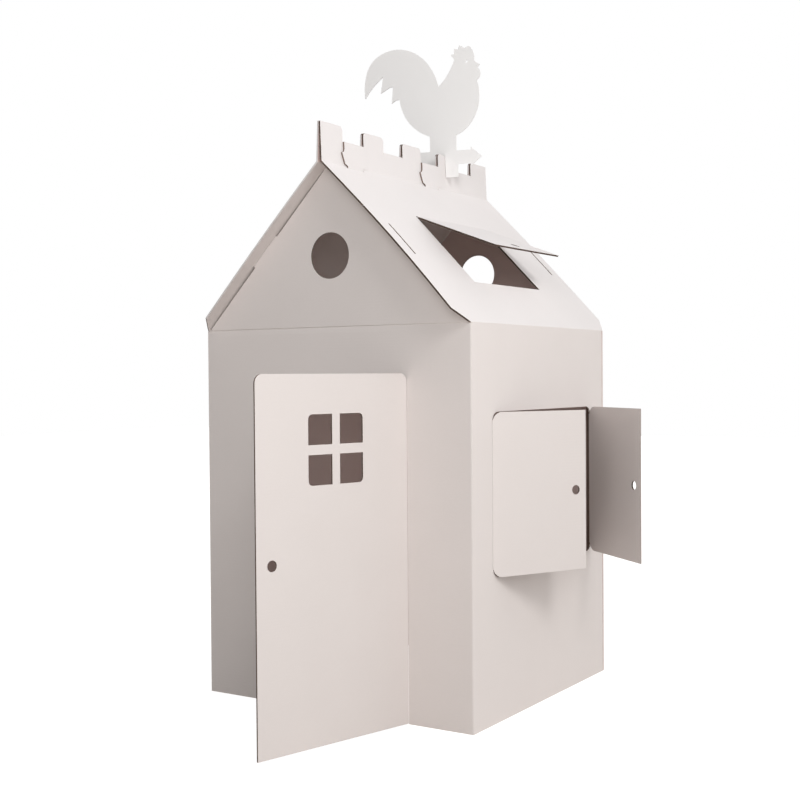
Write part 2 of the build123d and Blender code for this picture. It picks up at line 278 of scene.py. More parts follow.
@dataclass(frozen=True)
class Panel:
    """A flat stretch of board, from a corner of its outer face."""

    corner: Vector
    along: Vector
    across: Vector
    length: float
    height: float
    finish: Finish
    hollows: tuple[Room, ...] = ()
    taper: float = 1.0
    back: Finish = Finish.INSIDE

    @property
    def outward(self) -> Vector:
        """The way the outer face looks."""
        return self.along.cross(self.across)

    def turned(self, turn: Matrix) -> "Panel":
        """The same panel on the twin sheet.

        Args:
            turn: The half turn that brings one sheet onto the other.

        Returns:
            The turned panel.
        """
        spin = turn.to_3x3()
        return Panel(turn @ self.corner, spin @ self.along, spin @ self.across,
                     self.length, self.height, self.finish, self.hollows, self.taper, self.back)

    def place(self, room: Room, stock: Stock) -> Matrix:
        """Where the middle of a hollow is.

        Args:
            room: The hollow's start and end along, then across the panel.
            stock: The board.

        Returns:
            The matrix that puts a sheet there.
        """
        middle = self.corner - self.outward * stock.thickness / 2
        middle = middle + self.along * (room[0] + room[1]) / 2 + self.across * (room[2] + room[3]) / 2
        matrix = Matrix((self.along, self.across, self.outward)).transposed().to_4x4()
        matrix.translation = middle
        return matrix

    def slabs(self, stock: Stock) -> list[Piece]:
        """Makes the solids that clear the room between the liners.

        Args:
            stock: The board.

        Returns:
            One closed slab for each hollow.
        """
        made = []
        for room in self.hollows:
            size = (room[1] - room[0], room[3] - room[2], stock.hollow)
            made.append(Bench.slab(size, self.place(room, stock), self.taper))
        return made

    def flutes(self, stock: Stock) -> list[Piece]:
        """Makes the fluted core for each hollow.

        Args:
            stock: The board.

        Returns:
            One core sheet for each hollow.
        """
        made = []
        for room in self.hollows:
            sheet = stock.fluted_sheet(room[1] - room[0], room[3] - room[2])
            Bench.settle(sheet, self.place(room, stock))
            made.append(sheet)
        return made

    def liner_at(self, place: Vector, normal: Vector, stock: Stock) -> Finish | None:
        """Finds which of this panel's liners a face is on.

        Args:
            place: The face's middle.
            normal: The way it faces.
            stock: The board.

        Returns:
            The liner's finish, or None for a face that isn't on one.
        """
        off = place - self.corner
        slack = 2 * stock.liner
        if not -slack < off.dot(self.along) < self.length + slack:
            return None
        if not -slack < off.dot(self.across) < self.height + slack:
            return None
        depth = -off.dot(self.outward)
        facing = normal.dot(self.outward)
        if abs(depth) < stock.liner / 2 and facing > FACING:
            return self.finish
        if abs(depth - stock.thickness) < stock.liner / 2 and facing < -FACING:
            return self.back
        return None


def spans(start: float, end: float, creases: Iterable[float], margin: float) -> list[tuple[float, float]]:
    """Splits a stretch of board at its creases.

    Args:
        start: Where the stretch begins.
        end: Where it ends.
        creases: The crease lines on it, in order.
        margin: The board left whole on each side of a crease.

    Returns:
        The starts and ends of the stretches between creases.
    """
    cuts = [start]
    for crease in creases:
        cuts += [crease - margin, crease + margin]
    cuts.append(end)
    return list(zip(cuts[0::2], cuts[1::2]))


def rooms(along: list[tuple[float, float]], across: list[tuple[float, float]]) -> tuple[Room, ...]:
    """Every pairing of stretches along and across a panel."""
    return tuple((*a, *b) for a in along for b in across)


@dataclass
class Board:
    """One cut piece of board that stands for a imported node."""

    node: str
    body: str
    stock: Stock
    panels: list[Panel] = field(default_factory=list)
    folds: list[Fold] = field(default_factory=list)

    def build(self, finishes: Materials) -> Piece:
        """Makes the board, dresses it and ties it to its body.

        Args:
            finishes: The material of each finish.

        Returns:
            The finished piece.
        """
        solid = self.blank()
        self.crease(solid)
        core = self.core(solid)
        self.clear_room(solid)
        piece = Bench.join([solid, core])
        piece.name = f"{self.node}_board"
        piece.data.name = piece.name
        self.dress(piece, finishes)
        self.spring(piece)
        Bench.pick(piece)
        bpy.ops.object.shade_smooth_by_angle(angle=SMOOTH)
        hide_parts(self.node)
        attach(piece, self.body)
        return piece

    def blank(self) -> Piece:
        """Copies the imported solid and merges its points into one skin.

        Returns:
            The plain board.
        """
        source = frame["nodes"][self.node]
        copy = bpy.data.objects.new(f"{self.node}_blank", source.data.copy())
        bpy.context.scene.collection.objects.link(copy)
        copy.data.materials.clear()
        Bench.pick(copy)
        bpy.ops.mesh.customdata_custom_splitnormals_clear()
        Bench.mark(copy, lambda p: True)
        bpy.ops.mesh.remove_doubles(threshold=MERGE)
        bpy.ops.object.mode_set(mode="OBJECT")
        return copy

    def crease(self, solid: Piece) -> None:
        """Presses the creases into the plain board; most pieces have none."""

    def core(self, solid: Piece) -> Piece:
        """Makes the fluted core and trims it to the board's outline.

        Args:
            solid: The plain board.

        Returns:
            The core.
        """
        sheets = []
        for panel in self.panels:
            made = panel.flutes(self.stock)
            if panel.taper != 1.0:
                for sheet, slab in zip(made, panel.slabs(self.stock)):
                    Bench.carve(sheet, slab, Cut.WITHIN)
                    Bench.drop(slab)
            sheets += made
        core = Bench.join(sheets)
        Bench.carve(core, solid, Cut.WITHIN)
        return core

    def clear_room(self, solid: Piece) -> None:
        """Clears the room between the liners.

        Args:
            solid: The plain board.
        """
        slabs = Bench.join([slab for panel in self.panels for slab in panel.slabs(self.stock)])
        Bench.carve(solid, slabs, Cut.AWAY)
        Bench.drop(slabs)

    def finish_of(self, place: Vector, normal: Vector) -> Finish:
        """Chooses a face's finish from where it is.

        Args:
            place: The face's middle.
            normal: The way it faces.

        Returns:
            The finish.
        """
        for panel in self.panels:
            liner = panel.liner_at(place, normal, self.stock)
            if liner:
                return liner
        if any(fold.covers(place, normal) for fold in self.folds):
            return self.panels[0].finish
        return Finish.KRAFT

    def dress(self, piece: Piece, finishes: Materials) -> None:
        """Gives every face its finish.

        Args:
            piece: The finished piece.
            finishes: The material of each finish.
        """
        chosen = [self.finish_of(face.center, face.normal) for face in piece.data.polygons]
        used = [finish for finish in Finish if finish in chosen]
        piece.data.materials.clear()
        for finish in used:
            piece.data.materials.append(finishes[finish])
        piece.data.polygons.foreach_set("material_index", [used.index(finish) for finish in chosen])

    def spring(self, piece: Piece) -> None:
        """Bends the board as it stands; most pieces stay flat."""


@dataclass
class House:
    """The folded house's sizes, in metres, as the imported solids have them."""

    width: float = 0.750
    depth: float = 0.705
    eaves: float = 0.900
    rise: float = 0.378  # from the eaves to the ridge
    overhang: float = 0.040
    crest: float = 0.092  # height above the ridge
    spread: float = 0.0035  # how far a crest leans in
    crenel: float = 0.036  # depth of a gap in the crest
    fit: float = 0.00025  # gap where two pieces meet
    glue_flap: float = 0.040
    tongues: int = 2  # on each sheet
    tongue_tuck: float = 0.018  # nose below the ridge
    tab_foot: float = 0.2115  # up the slope from the eaves
    tab_length: float = 0.0985
    stock: Stock = field(default_factory=Stock)

    def __post_init__(self) -> None:
        """Works out the places that follow from the sizes."""
        board = self.stock.thickness
        self.half = self.width / 2
        self.front = board / 2 - self.depth
        self.middle = (board - self.depth) / 2
        self.back = board / 2
        self.lean = math.atan2(self.spread, self.crest)
        self.crest_length = math.hypot(self.spread, self.crest)
        self.fold_x = self.fit / 2 + board / math.cos(self.lean) + self.spread
        self.ridge = self.eaves + self.rise
        self.pitch = math.atan2(self.rise, self.half - self.fold_x)
        self.slope = math.hypot(self.rise, self.half - self.fold_x)
        self.roof_length = self.depth + 2 * self.overhang
        self.crest_steps = 4 * self.tongues + 1
        self.step = self.roof_length / self.crest_steps
        self.floor = self.crest_length - self.crenel
        self.floor_height = self.ridge + self.floor * math.cos(self.lean)
        self.wall_top = self.eaves - board * math.tan((math.pi / 2 - self.pitch) / 2)

    @property
    def half_turn(self) -> Matrix:
        """Brings the front sheet onto its twin."""
        axis = Matrix.Translation(Vector((0, self.middle, 0)))
        return axis @ Matrix.Rotation(math.pi, 4, "Z") @ axis.inverted()

    def crest_x(self, height: float, out: float = 0.0) -> float:
        """How far a crest's outer face, or a place beyond it, is from the middle at a height."""
        return self.fold_x - (height - self.ridge) * math.tan(self.lean) + out / math.cos(self.lean)


@dataclass
class FoldedSheet(Board):
    """Half the house: a gable wall, a side wall, a roof and half the crest in one sheet."""

    house: House = field(default_factory=House)
    twin: bool = False
    wall_creases: tuple[float, ...] = ()
    side_creases: tuple[float, ...] = ()
    roof_creases: tuple[float, ...] = ()
    crease_band: float = 0.0135  # height of the crease under the gable
    crease_lip: float = 0.0015  # from the eaves down to its deepest line
    crease_depth: float = 0.0016
    crease_ease: float = 0.004
    fold_round: float = 0.0045
    fold_segments: int = 4
    low_gap: float = 0.0022  # gable to roof below the tab
    high_gap: float = 0.001  # gable to roof above the tab
    near_bow: float = 0.007
    far_bow: float = 0.003
    bow_reach: float = 0.2  # how far a bow runs in from the roof's end
    bow_lines: int = 8

    def __post_init__(self) -> None:
        """Lays out the panels and folds of the sheet."""
        panels = [self.gable_wall(), self.gable(), self.side_wall(), self.roof(), self.crest()]
        panels += [self.glue_flap(), *self.tongue_panels()]
        folds = self.fold_lines()
        if self.twin:
            turn = self.house.half_turn
            panels = [panel.turned(turn) for panel in panels]
            folds = [Fold(turn @ fold.point, fold.along, fold.reach) for fold in folds]
        self.panels = panels
        self.folds = folds

    def crease(self, solid: Piece) -> None:
        """Rounds the eaves fold and presses the crease under the gable.

        Args:
            solid: The plain board.
        """
        house, home = self.house, self.home
        Bench.mark(solid, lambda p: self.on_eaves(home @ p))
        bpy.ops.mesh.bevel(offset=self.fold_round, segments=self.fold_segments,
                           affect="EDGES", clamp_overlap=True)
        for drop in (0.0, self.crease_lip, self.crease_band, self.crease_band + self.crease_ease):
            Bench.mark(solid, lambda p: self.on_front(home @ p))
            place = home @ Vector((0, house.front, house.eaves - drop))
            bpy.ops.mesh.bisect(plane_co=place, plane_no=UP)
        bottom = house.eaves - self.crease_lip
        Bench.mark(solid, lambda p: abs(p.z - bottom) < TOUCH and self.on_front(home @ p))
        inward = home.to_3x3() @ Vector((0, self.crease_depth, 0))
        bpy.ops.transform.translate(value=inward)
        bpy.ops.object.mode_set(mode="OBJECT")
        self.part_gable(solid)

    @property
    def home(self) -> Matrix:
        """Brings this sheet to where the front one stands, or back again."""
        return self.house.half_turn if self.twin else Matrix.Identity(4)

    def part_gable(self, solid: Piece) -> None:
        """Opens the gaps that show between the gable's slopes and the roof, beside its tabs.

        Args:
            solid: The plain board.
        """
        house, stock = self.house, self.stock
        roof = self.roof()
        middle = house.overhang + stock.thickness / 2
        half = stock.thickness / 2 + house.fit
        axis = Matrix.Translation(Vector((0, house.front + stock.thickness / 2, 0)))
        other_slope = axis @ Matrix.Rotation(math.pi, 4, "Z") @ axis.inverted()
        foot = 2 * stock.thickness
        tab_head = house.tab_foot + house.tab_length
        head = house.slope - 4 * stock.thickness
        stretches = ((foot, house.tab_foot, self.low_gap), (tab_head, head, self.high_gap))
        for start, end, gap in stretches:
            deep = gap + house.fit / 2
            place = roof.place((middle - half, middle + half, start, end), stock)
            place.translation -= roof.outward * (stock.thickness + house.fit + deep) / 2
            for turn in (Matrix.Identity(4), other_slope):
                tool = Bench.slab((2 * half, end - start, deep), self.home @ turn @ place)
                Bench.carve(solid, tool, Cut.AWAY)
                Bench.drop(tool)

    def bow(self, place: Vector, roof: Panel) -> float:
        """How far the roof springs out at a point.

        Args:
            place: A point, with the sheet where the front one stands.
            roof: The roof's panel.

        Returns:
            The distance, 0 for a point that isn't on the roof near one of its ends.
        """
        house = self.house
        off = place - roof.corner
        along, up, deep = off.dot(roof.along), off.dot(roof.across), -off.dot(roof.outward)
        in_board = -house.fit < deep < self.stock.thickness + house.fit / 2
        if not in_board or not 0 < up < house.slope:
            return 0.0
        far = house.roof_length - along
        height = self.near_bow if along < far else self.far_bow
        fade = math.cos(math.pi / 2 * min(1.0, max(0.0, min(along, far)) / self.bow_reach)) ** 2
        return height * fade * math.sin(math.pi * up / house.slope)

    def spring(self, piece: Piece) -> None:
        """Bows the roof's free ends outward, as bent board does.

        Args:
            piece: The dressed piece.
        """
        house, home, roof = self.house, self.home, self.roof()
        spin = home.to_3x3()
        cuts = [(roof.across, house.slope * k / self.bow_lines) for k in range(1, self.bow_lines)]
        for k in range(1, self.bow_lines):
            inset = self.bow_reach * k / self.bow_lines + house.fit
            cuts += [(roof.along, inset), (roof.along, house.roof_length - inset)]
        for way, reach in cuts:
            Bench.mark(piece, lambda p: self.in_roof(home @ p, roof))
            bpy.ops.mesh.bisect(plane_co=home @ (roof.corner + way * reach), plane_no=spin @ way)
        bpy.ops.object.mode_set(mode="OBJECT")
        bows = [self.bow(home @ point.co, roof) for point in piece.data.vertices]
        most = max(bows)
        group = piece.vertex_groups.new(name="bow")
        for index, height in enumerate(bows):
            if height > 0:
                group.add([index], height / most, "REPLACE")
        out = spin @ roof.outward
        name = group.name
        for axis, share in (("X", out.x), ("Z", out.z)):
            Bench.finish(piece, "DISPLACE", direction=axis, strength=most * share,
                         mid_level=0.0, vertex_group=name)
        piece.vertex_groups.clear()

    def in_roof(self, place: Vector, roof: Panel) -> bool:
        """Whether a point is in the roof's board, its folds left out.

        Args:
            place: A point, with the sheet where the front one stands.
            roof: The roof's panel.

        Returns:
            True for a point of the roof.
        """
        off = place - roof.corner
        up, deep = off.dot(roof.across), -off.dot(roof.outward)
        margin = self.stock.fold
        on_slope = -margin < up < self.house.slope + margin
        return on_slope and -self.house.fit < deep < self.stock.thickness + self.house.fit

    def finish_of(self, place: Vector, normal: Vector) -> Finish:
        """Chooses a face's finish, with the liner closed over the edges that the photograph shows pale.

        Args:
            place: The face's middle.
            normal: The way it faces.

        Returns:
            The finish.
        """
        finish = super().finish_of(place, normal)
        if finish is not Finish.KRAFT:
            return finish
        house, home = self.house, self.home
        own = home @ place
        facing = home.to_3x3() @ normal
        if facing.y > FACING and own.z > house.eaves and own.x > 0:
            return Finish.ROOF
        if facing.x < -FACING and own.x < self.stock.liner - house.half:
            return Finish.WALL
        return finish

    def on_eaves(self, place: Vector) -> bool:
        """Whether a point is on the outer corner of the eaves fold."""
        return abs(place.x - self.house.half) < TOUCH and abs(place.z - self.house.eaves) < TOUCH

    def on_front(self, place: Vector) -> bool:
        """Whether a point is on the outer face of the gable wall."""
        return abs(place.y - self.house.front) < TOUCH

    def gable_wall(self) -> Panel:
        """The wall below the gable, up to the eaves crease.

        Returns:
            The panel.
        """
        house, stock = self.house, self.stock
        along = spans(stock.hem, house.width - 2 * stock.fold, self.wall_creases, stock.fold)
        across = [(-stock.past, house.eaves - self.crease_band)]
        return Panel(Vector((-house.half, house.front, 0)), RIGHT, UP,
                     house.width, house.eaves, Finish.WALL, rooms(along, across))

    def gable(self) -> Panel:
        """The gable above the eaves crease, kept clear of the roof.

        Returns:
            The panel.
        """
        house, stock = self.house, self.stock
        low = stock.fold
        high = house.rise - 4 * stock.thickness
        clear = 3 * stock.thickness
        foot = house.half - low / math.tan(house.pitch) - clear
        top = house.half - high / math.tan(house.pitch) - clear
        room = (house.half - foot, house.half + foot, low, high)
        return Panel(Vector((-house.half, house.front, house.eaves)), RIGHT, UP,
                     house.width, house.rise, Finish.WALL, (room,), top / foot)

    def side_wall(self) -> Panel:
        """The wall under the eaves.

        Returns:
            The panel.
        """
        house, stock = self.house, self.stock
        along = spans(2 * stock.fold, house.depth - 2 * stock.fold, self.side_creases, stock.fold)
        across = [(-stock.past, house.eaves - stock.fold)]
        return Panel(Vector((house.half, house.front, 0)), REARWARD, UP,
                     house.depth, house.eaves, Finish.WALL, rooms(along, across))

    def roof(self) -> Panel:
        """The roof, left whole over both gables where the slots are.

        Returns:
            The panel.
        """
        house, stock = self.house, self.stock
        near = house.overhang + stock.thickness / 2
        far = house.roof_length - house.overhang - stock.thickness / 2
        along = spans(-stock.past, house.roof_length - stock.hem, (near, far), stock.thickness)
        across = spans(stock.fold, house.slope - stock.fold, self.roof_creases, stock.fold)
        uphill = Vector((-math.cos(house.pitch), 0, math.sin(house.pitch)))
        return Panel(Vector((house.half, house.front - house.overhang, house.eaves)), REARWARD, uphill,
                     house.roof_length, house.slope, Finish.ROOF, rooms(along, across), back=Finish.WALL)

    def crest(self) -> Panel:
        """Half the crest, with room in its merlons and in its foot.

        Returns:
            The panel.
        """
        house, stock = self.house, self.stock
        slit_clear = 4 * stock.thickness
        foot = (-stock.past, house.roof_length - stock.hem, stock.fold, house.floor - slit_clear)
        merlons = []
        for i in range(0, house.crest_steps, 2):
            start = i * house.step - stock.past
            end = (i + 1) * house.step - stock.hem
            merlons.append((start, end, house.floor + stock.liner, house.crest_length + stock.past))
        uphill = Vector((-math.sin(house.lean), 0, math.cos(house.lean)))
        return Panel(Vector((house.fold_x, house.front - house.overhang, house.ridge)), REARWARD, uphill,
                     house.roof_length, house.crest_length, Finish.ROOF, (foot, *merlons))

    def glue_flap(self) -> Panel:
        """The flap glued behind the twin's wall.

        Returns:
            The panel.
        """
        house, stock = self.house, self.stock
        corner = Vector((house.half - stock.thickness, house.back - stock.thickness - house.fit, 0))
        # Its inner face takes the dark kraft finish, which keeps the corner behind the side wall dark.
        return Panel(corner, -RIGHT, UP, house.glue_flap, house.wall_top, Finish.WALL, back=Finish.KRAFT)

    def tongue_panels(self) -> list[Panel]:
        """The lock tongues' bridges over the crest and their noses on its far side.

        Returns:
            Two panels for each tongue.
        """
        house, stock = self.house, self.stock
        leg = house.fit + stock.thickness
        reach = house.crest_x(house.floor_height, leg)
        downhill = Vector((-math.sin(house.lean), 0, -math.cos(house.lean)))
        made = []
        cheek = house.step / 4
        for i in range(3, house.crest_steps, 4):
            start = house.front - house.overhang + i * house.step
            over = Panel(Vector((-reach, start, house.floor_height)), RIGHT, REARWARD,
                         2 * reach, house.step, Finish.ROOF)
            nose = Panel(Vector((-reach, start - cheek, house.floor_height)), REARWARD, downhill,
                         house.step + 2 * cheek, house.floor + house.tongue_tuck, Finish.ROOF)
            made += [over, nose]
        return made

    def fold_lines(self) -> list[Fold]:
        """The creases between the panels and along the hinges.

        Returns:
            The folds.
        """
        house = self.house
        side = house.half
        folds = [
            Fold(Vector((side, 0, house.eaves)), REARWARD),
            Fold(Vector((house.fold_x, 0, house.ridge)), REARWARD),
            Fold(Vector((side, house.front, 0)), UP),
            Fold(Vector((side, house.back, 0)), UP),
            Fold(Vector((0, house.front, house.eaves - self.crease_band / 2)), RIGHT, self.crease_band),
            Fold(Vector((house.crest_x(house.floor_height), 0, house.floor_height)), REARWARD),
            Fold(Vector((-house.crest_x(house.floor_height), 0, house.floor_height)), REARWARD),
        ]
        folds += [Fold(Vector((u - side, house.front, 0)), UP) for u in self.wall_creases]
        folds += [Fold(Vector((side, house.front + u, 0)), UP) for u in self.side_creases]
        for v in self.roof_creases:
            place = (side - v * math.cos(house.pitch), 0, house.eaves + v * math.sin(house.pitch))
            folds.append(Fold(Vector(place), REARWARD))
        return folds


class Side(Enum):
    """Which side of a flap its crease is on."""

    START = "start"
    END = "end"
    TOP = "top"


@dataclass
class Flap(Board):
    """A cut-out flap that stands open on its crease."""

    joint: dict = field(default_factory=dict)
    closed_along: Vector = field(default_factory=lambda: REARWARD.copy())
    closed_across: Vector = field(default_factory=lambda: UP.copy())
    width: float = 0.0
    height: float = 0.0
    side: Side = Side.START
    finish: Finish = Finish.WALL
    lapped: bool = False  # whether the liner closes the free edge

    def __post_init__(self) -> None:
        """Turns the flap to where it stands and lays out its one panel."""
        axis = Vector(self.joint["axis"])
        opened = -math.radians(self.joint["range_deg"][0])
        spin = Matrix.Rotation(opened, 3, axis)
        along = spin @ self.closed_along
        across = spin @ self.closed_across
        hinge = Vector(self.joint["pos_m"])
        past, fold = self.stock.past, self.stock.fold
        over = -self.stock.hem if self.lapped else past
        start, end = -over, self.width + over
        top = self.height + past
        corner = hinge - across * self.height / 2
        if self.side is Side.START:
            start = fold
        elif self.side is Side.END:
            end = self.width - fold
            corner = corner - along * self.width
        else:
            top = self.height - fold
            corner = hinge - along * self.width / 2 - across * self.height
        room = (start, end, -past, top)
        panel = Panel(corner, along, across, self.width, self.height, self.finish, (room,), back=Finish.WALL)
        self.panels = [panel]
        self.folds = [Fold(hinge, axis)]

    def finish_of(self, place: Vector, normal: Vector) -> Finish:
        """Chooses a face's finish, with the liner lapped over the free edge where it is.

        Args:
            place: The face's middle.
            normal: The way it faces.

        Returns:
            The finish.
        """
        finish = super().finish_of(place, normal)
        if finish is not Finish.KRAFT or not self.lapped:
            return finish
        panel = self.panels[0]
        along = (place - panel.corner).dot(panel.along)
        at_end = min(abs(along), abs(along - self.width)) < self.stock.hem
        return Finish.PRESSED if at_end and abs(normal.dot(panel.along)) > FACING else finish


@dataclass(frozen=True)
class Camera:
    """The photograph's viewpoint, fitted to the house's corners."""

    place: tuple[float, float, float] = (1.70667, -3.06834, 0.78259)
    yaw: float = 32.66
    pitch: float = -1.08
    roll: float = -0.41
    focal_pixels: float = 1251.31
    sensor: float = 36.0

    def build(self) -> Piece:
        """Makes the camera and gives it to the scene.

        Returns:
            The camera.
        """
        yaw, pitch, roll = (math.radians(a) for a in (self.yaw, self.pitch, self.roll))
        ahead = Vector((-math.sin(yaw) * math.cos(pitch), math.cos(yaw) * math.cos(pitch), math.sin(pitch)))
        level = Vector((math.cos(yaw), math.sin(yaw), 0))
        upright = level.cross(ahead)
        right = level * math.cos(roll) + upright * math.sin(roll)
        top = upright * math.cos(roll) - level * math.sin(roll)
        data = bpy.data.cameras.new("viewpoint")
        data.sensor_fit = "HORIZONTAL"
        data.sensor_width = self.sensor
        data.lens = self.sensor * self.focal_pixels / IMAGE_WIDTH
        camera = bpy.data.objects.new("viewpoint", data)
        bpy.context.scene.collection.objects.link(camera)
        matrix = Matrix((right, top, -ahead)).transposed().to_4x4()
        matrix.translation = Vector(self.place)
        camera.matrix_world = matrix
        bpy.context.scene.camera = camera
        return camera


class Nodes:
    """A node tree that is being wired."""

    def __init__(self, tree: Tree) -> None:
        """Starts on the tree to wire."""
        self.tree = tree

    def add(self, kind: str, **values: object) -> bpy.types.Node:
        """Adds a node.

        Args:
            kind: The node's type, without its ShaderNode prefix.
            values: The node's settings.

        Returns:
            The node.
        """
        node = self.tree.nodes.new(f"ShaderNode{kind}")
        for name, value in values.items():
            setattr(node, name, value)
        return node

    def wire(self, source: Socket | float, target: Socket) -> None:
        """Joins two sockets, or sets the second to a number.

        Args:
            source: An output, or a plain number.
            target: The input.
        """
        if isinstance(source, (int, float)):
            target.default_value = source
        else:
            self.tree.links.new(source, target)

    def math(self, operation: str, *terms: Socket | float) -> Socket:
        """Works out one sum.

        Args:
            operation: The math node's operation.
            terms: Its inputs, sockets or numbers.

        Returns:
            The result's socket.
        """
        node = self.add("Math", operation=operation)
        for term, target in zip(terms, node.inputs):
            self.wire(term, target)
        return node.outputs[0]

    def noise(self, vector: Socket, scale: float, detail: float) -> Socket:
        """Adds a noise pattern.

        Args:
            vector: Where the pattern is read.
            scale: How fine it is.
            detail: How many finer layers it has.

        Returns:
            The pattern, from 0 to 1.
        """
        node = self.add("TexNoise")
        self.wire(vector, node.inputs["Vector"])
        self.wire(scale, node.inputs["Scale"])
        self.wire(detail, node.inputs["Detail"])
        return node.outputs["Fac"]

    def stretch(self, vector: Socket, scale: tuple[float, ...]) -> Socket:
        """Stretches the space that a pattern is read in.

        Args:
            vector: The space.
            scale: The factor along each axis.

        Returns:
            The stretched space.
        """
        node = self.add("Mapping")
        node.inputs["Scale"].default_value = scale
        self.wire(vector, node.inputs["Vector"])
        return node.outputs["Vector"]


@dataclass(frozen=True)
class PaperGrain:
    """Fibres and soft clouds in paper, as a node group."""

    cloud: float = 9.0
    cloud_detail: float = 3.0
    fibre: float = 420.0
    fibre_detail: float = 4.0
    fibre_stretch: tuple[float, ...] = (0.35, 0.35, 1.0)
    speck: float = 2.5  # times as fine as the fibres
    speck_detail: float = 2.0
    speck_share: float = 0.5

    def group(self) -> Tree:
        """Builds the group.

        Returns:
            The group, from Vector to Cloud, Fibre and Height.
        """
        tree = bpy.data.node_groups.new("paper_grain", "ShaderNodeTree")
        tree.interface.new_socket("Vector", in_out="INPUT", socket_type="NodeSocketVector")
        for name in ("Cloud", "Fibre", "Height"):
            tree.interface.new_socket(name, in_out="OUTPUT", socket_type="NodeSocketFloat")
        nodes = Nodes(tree)
        source = tree.nodes.new("NodeGroupInput").outputs["Vector"]
        result = tree.nodes.new("NodeGroupOutput")
        cloud = nodes.noise(source, self.cloud, self.cloud_detail)
        fibre = nodes.noise(nodes.stretch(source, self.fibre_stretch), self.fibre, self.fibre_detail)
        speck = nodes.noise(source, self.fibre * self.speck, self.speck_detail)
        height = nodes.math("MULTIPLY_ADD", speck, self.speck_share, fibre)
        for name, value in (("Cloud", cloud), ("Fibre", fibre), ("Height", height)):
            nodes.wire(value, result.inputs[name])
        return tree


@dataclass(frozen=True)
class Washboard:
    """The faint ribs that the flutes press into a liner, as a node group."""

    pitch: float = 0.0069

    def group(self) -> Tree:
        """Builds the group.

        Returns:
            The group, from Vector and Rise to Height.
        """
        tree = bpy.data.node_groups.new("washboard", "ShaderNodeTree")
        tree.interface.new_socket("Vector", in_out="INPUT", socket_type="NodeSocketVector")
        tree.interface.new_socket("Rise", in_out="INPUT", socket_type="NodeSocketFloat")
        tree.interface.new_socket("Height", in_out="OUTPUT", socket_type="NodeSocketFloat")
        nodes = Nodes(tree)
        source = tree.nodes.new("NodeGroupInput")
        result = tree.nodes.new("NodeGroupOutput")
        parts = nodes.add("SeparateXYZ")
        nodes.wire(source.outputs["Vector"], parts.inputs[0])
        across = nodes.math("DIVIDE", parts.outputs["Z"], source.outputs["Rise"])
        turns = nodes.math("MULTIPLY", across, math.tau / self.pitch)
        nodes.wire(nodes.math("SINE", turns), result.inputs["Height"])
        return tree


class PaperTree(Nodes):
    """The wiring that every paper finish shares."""

    def __init__(self, name: str, specular: float, grain: Tree) -> None:
        """Starts a new material with the paper's grain in it.

        Args:
            name: The material's name.
            specular: How much the paper shines.
            grain: The paper grain group.
        """
        self.material = bpy.data.materials.new(name)
        self.material.use_nodes = True
        super().__init__(self.material.node_tree)
        self.paper = self.tree.nodes["Principled BSDF"]
        self.paper.inputs["Specular IOR Level"].default_value = specular
        self.space = self.add("TexCoord").outputs["Object"]
        fibres = self.add("Group", node_tree=grain)
        self.wire(self.space, fibres.inputs["Vector"])
        self.grain = fibres.outputs

    def blend(self, shade: Colour, tint: Colour, share: Socket) -> None:
        """Colours the paper between two tints.

        Args:
            shade: The darker tint.
            tint: The lighter tint.
            share: How much of the lighter one shows.
        """
        mix = self.add("Mix", data_type="RGBA")
        mix.inputs["A"].default_value = (*shade, 1)
        mix.inputs["B"].default_value = (*tint, 1)
        self.wire(share, mix.inputs["Factor"])
        self.wire(mix.outputs["Result"], self.paper.inputs["Base Color"])

    def roughen(self, least: float, swing: float) -> None:
        """Sets the least roughness and what the fibres add to it."""
        rough = self.math("MULTIPLY_ADD", self.grain["Fibre"], swing, least)
        self.wire(rough, self.paper.inputs["Roughness"])

    def emboss(self, height: Socket, distance: float = 1.0) -> None:
        """Raises the paper's surface.

        Args:
            height: The pattern that is raised.
            distance: How far a height of 1 is raised, in metres.
        """
        bump = self.add("Bump")
        bump.inputs["Distance"].default_value = distance
        self.wire(height, bump.inputs["Height"])
        self.wire(bump.outputs["Normal"], self.paper.inputs["Normal"])


@dataclass(frozen=True)
class LinerFinish:
    """White paper over flutes."""

    tint: Colour
    shade: Colour
    rise: float = 1.0  # how steep the board is, so that the ribs keep their pitch
    ribs: float = 0.00002
    tooth: float = 0.00002
    mottling: float = 0.6
    specular: float = 0.25
    roughness: float = 0.72
    swing: float = 0.2

    def build(self, name: str, grain: Tree, washboard: Tree) -> bpy.types.Material:
        """Builds the material.

        Args:
            name: The material's name.
            grain: The paper grain group.
            washboard: The ribs group.

        Returns:
            The material.
        """
        tree = PaperTree(name, self.specular, grain)
        ribs = tree.add("Group", node_tree=washboard)
        tree.wire(tree.space, ribs.inputs["Vector"])
        tree.wire(self.rise, ribs.inputs["Rise"])
        clouds = tree.math("MULTIPLY", tree.grain["Cloud"], self.mottling)
        mottle = tree.math("MULTIPLY_ADD", tree.grain["Fibre"], self.mottling, clouds)
        tree.blend(self.shade, self.tint, mottle)
        tree.roughen(self.roughness, self.swing)
        fine = tree.math("MULTIPLY", tree.grain["Height"], self.tooth)
        tree.emboss(tree.math("MULTIPLY_ADD", ribs.outputs["Height"], self.ribs, fine))
        return tree.material


